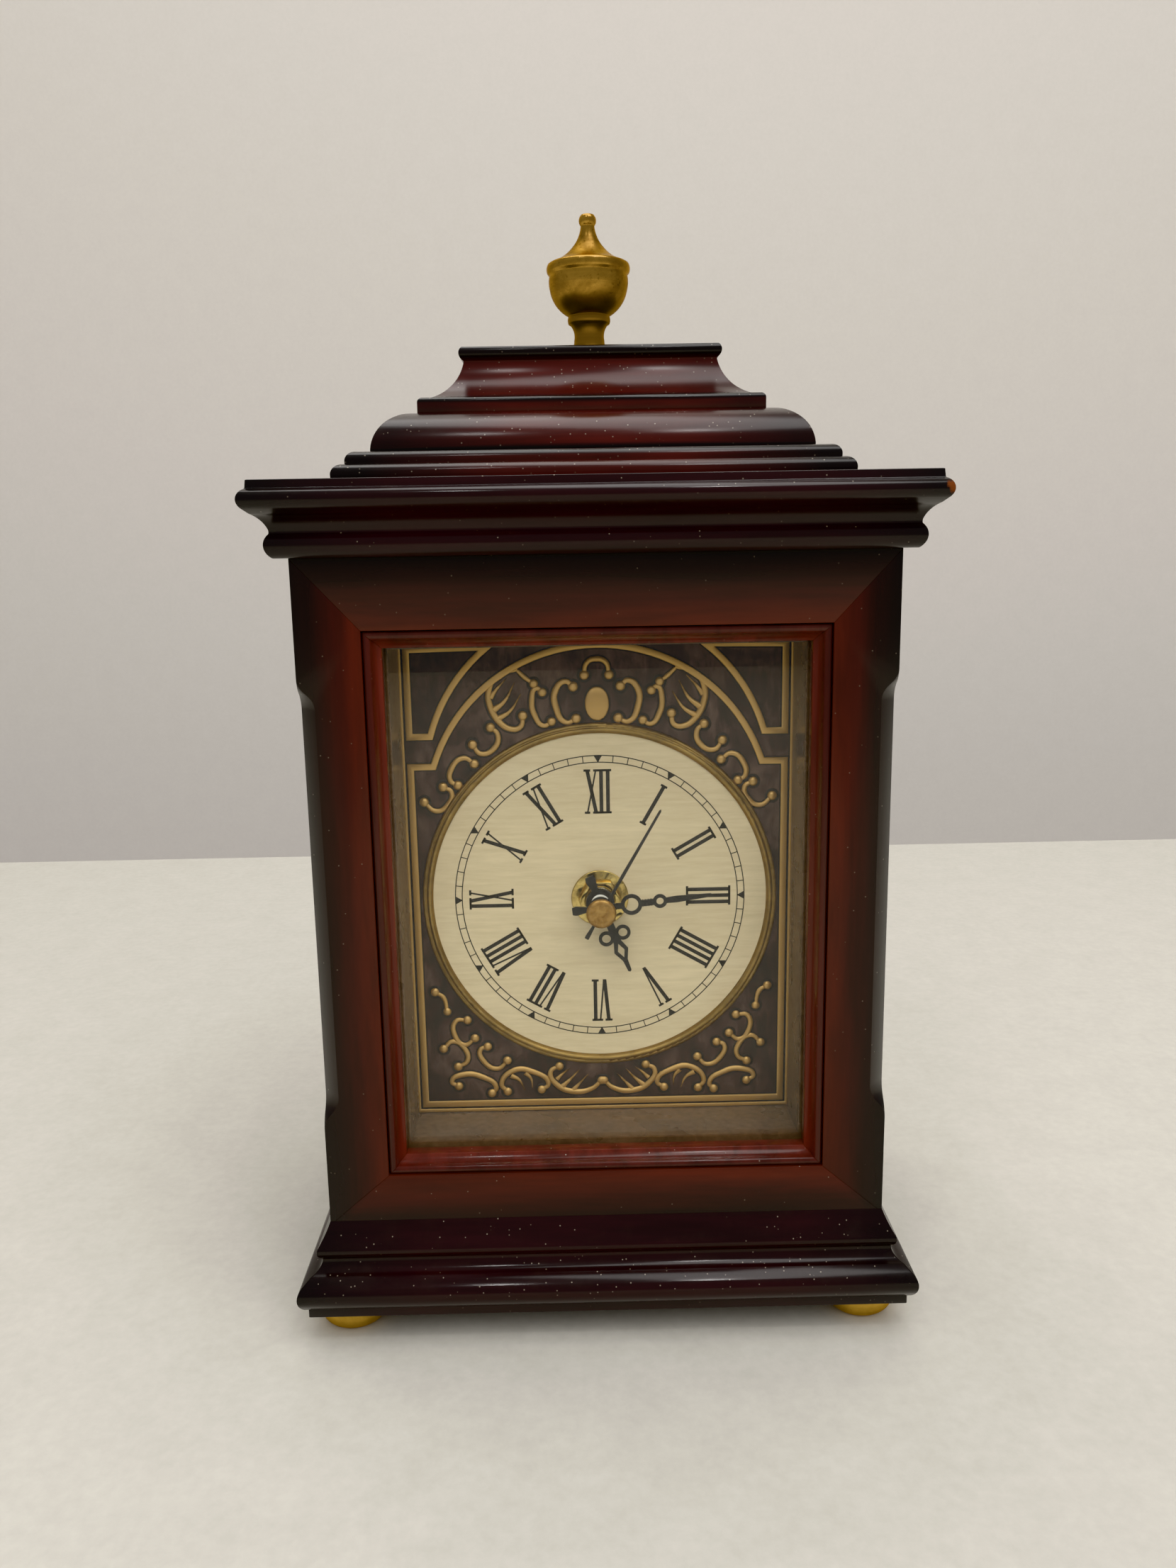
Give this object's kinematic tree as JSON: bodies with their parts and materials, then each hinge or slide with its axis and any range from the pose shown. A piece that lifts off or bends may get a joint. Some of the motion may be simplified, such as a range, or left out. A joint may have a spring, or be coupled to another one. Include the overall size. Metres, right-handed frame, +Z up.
{
  "type": "carriage clock",
  "caption": "Wooden mantel clock with moulded cornice and base, brass bun feet and urn finial, glazed gilt dial, battery quartz movement and hinged rear door.",
  "frame": {"origin": "middle of the footprint, on the surface the feet stand on", "axes": "+Z up, -Y towards the viewer of the dial, +X to the viewer's right"},
  "size_m": [0.171, 0.125, 0.3048],
  "materials": {
    "case_wood": "satin lacquered red-brown hardwood, shaded almost black towards the edges",
    "plain_board": "plain unfinished board",
    "antique_brass": "antique brushed brass with dark tarnish in the grooves",
    "polished_brass": "bright turned brass",
    "liner": "semi-gloss dark grey-brown painted liner",
    "glass": "clear plain glass",
    "dial_plate_gilt": "gilt relief on a dark bronzed ground",
    "dial_gold": "horizontally brushed champagne gold with black printing",
    "hand_black": "satin black",
    "movement_plastic": "black moulded plastic",
    "gear_plastic": "natural acetal with steel arbors",
    "steel": "plain steel",
    "magnet": "brown plastic magnet holder",
    "circuit": "green circuit board with plated contacts",
    "battery_wrap": "printed-free grey cell wrap"
  },
  "bodies": {
    "case": {"base_moulding_front": "case_wood", "base_moulding_right": "case_wood", "base_moulding_back": "case_wood", "base_moulding_left": "case_wood", "cornice_front": "case_wood", "cornice_right": "case_wood", "cornice_back": "case_wood", "cornice_left": "case_wood", "frame_stile_right": "case_wood", "frame_stile_left": "case_wood", "frame_rail_top": "case_wood", "frame_rail_bottom": "case_wood", "side_right": "case_wood", "side_left": "case_wood", "sight_moulding_right": "case_wood", "sight_moulding_left": "case_wood", "sight_moulding_top": "case_wood", "sight_moulding_bottom": "case_wood", "roof_step": "case_wood", "roof_block": "case_wood", "roof_cap": "case_wood", "base_board": "plain_board", "top_board": "plain_board", "dial_board": "plain_board", "feet": "antique_brass", "finial": "antique_brass", "hinge_case_leaves": "polished_brass", "hinge_pins": "polished_brass", "hinge_case_screws": "polished_brass", "threaded_bushing": "polished_brass", "mounting_washer": "polished_brass", "mounting_nut": "polished_brass", "dial_liner": "liner", "glass_pane": "glass", "dial_plate": "dial_plate_gilt", "dial_ring": "dial_plate_gilt", "dial_disc": "dial_gold", "movement_housing": "movement_plastic", "movement_cover": "movement_plastic", "stator_coil": "steel", "catch_magnet": "magnet", "circuit_and_contacts": "circuit"},
    "door": {"rear_door": "case_wood", "hinge_door_leaves": "polished_brass", "hinge_door_screws": "polished_brass", "door_knob": "polished_brass", "strike_plate": "steel"},
    "cell": {"battery": "battery_wrap"},
    "minute_train": {"centre_wheel": "gear_plastic", "minute_hand": "hand_black"},
    "hour_train": {"hour_wheel": "gear_plastic", "hour_hand": "hand_black"},
    "seconds_train": {"seconds_wheel": "gear_plastic", "second_hand": "hand_black", "hand_cap": "polished_brass"},
    "third_train": {"third_wheel": "gear_plastic"},
    "intermediate_train": {"intermediate_wheel": "gear_plastic"},
    "rotor_train": {"rotor": "gear_plastic"},
    "motion_train": {"motion_wheel": "gear_plastic"},
    "setting_train": {"setting_knob": "movement_plastic"}
  },
  "joints": [
    {"name": "rear_door_swing", "type": "hinge", "parent": "case", "child": "door", "pos_m": [0.067, 0.0549, 0.123], "axis": [0, 0, -1], "range_deg": [0, 110]},
    {"name": "battery_slide", "type": "slide", "parent": "case", "child": "cell", "axis": [0, 1, 0], "range_m": [0, 0.02]},
    {"name": "minute_hand_turn", "type": "hinge", "parent": "case", "child": "minute_train", "pos_m": [0, 0, 0.117], "axis": [0, 1, 0], "continuous": true},
    {"name": "hour_hand_turn", "type": "hinge", "parent": "case", "child": "hour_train", "pos_m": [0, 0, 0.117], "axis": [0, 1, 0], "continuous": true},
    {"name": "second_hand_turn", "type": "hinge", "parent": "case", "child": "seconds_train", "pos_m": [0, 0, 0.117], "axis": [0, 1, 0], "continuous": true},
    {"name": "third_wheel_turn", "type": "hinge", "parent": "case", "child": "third_train", "pos_m": [0.00595, 0, 0.12731], "axis": [0, 1, 0], "continuous": true},
    {"name": "intermediate_wheel_turn", "type": "hinge", "parent": "case", "child": "intermediate_train", "pos_m": [-0.01061, 0, 0.12312], "axis": [0, 1, 0], "continuous": true},
    {"name": "rotor_turn", "type": "hinge", "parent": "case", "child": "rotor_train", "pos_m": [-0.01307, 0, 0.12989], "axis": [0, 1, 0], "continuous": true},
    {"name": "motion_wheel_turn", "type": "hinge", "parent": "case", "child": "motion_train", "pos_m": [0.00902, 0, 0.11372], "axis": [0, 1, 0], "continuous": true},
    {"name": "setting_knob_turn", "type": "hinge", "parent": "case", "child": "setting_train", "pos_m": [0.01804, 0, 0.117], "axis": [0, 1, 0], "continuous": true}
  ],
  "couplings": [
    {"joint": "hour_hand_turn", "follows": "minute_hand_turn", "ratio": 0.083333},
    {"joint": "second_hand_turn", "follows": "minute_hand_turn", "ratio": 60},
    {"joint": "third_wheel_turn", "follows": "minute_hand_turn", "ratio": -7.5},
    {"joint": "intermediate_wheel_turn", "follows": "minute_hand_turn", "ratio": -360},
    {"joint": "rotor_turn", "follows": "minute_hand_turn", "ratio": 1800},
    {"joint": "motion_wheel_turn", "follows": "minute_hand_turn", "ratio": -0.33333},
    {"joint": "setting_knob_turn", "follows": "minute_hand_turn", "ratio": 1}
  ]
}
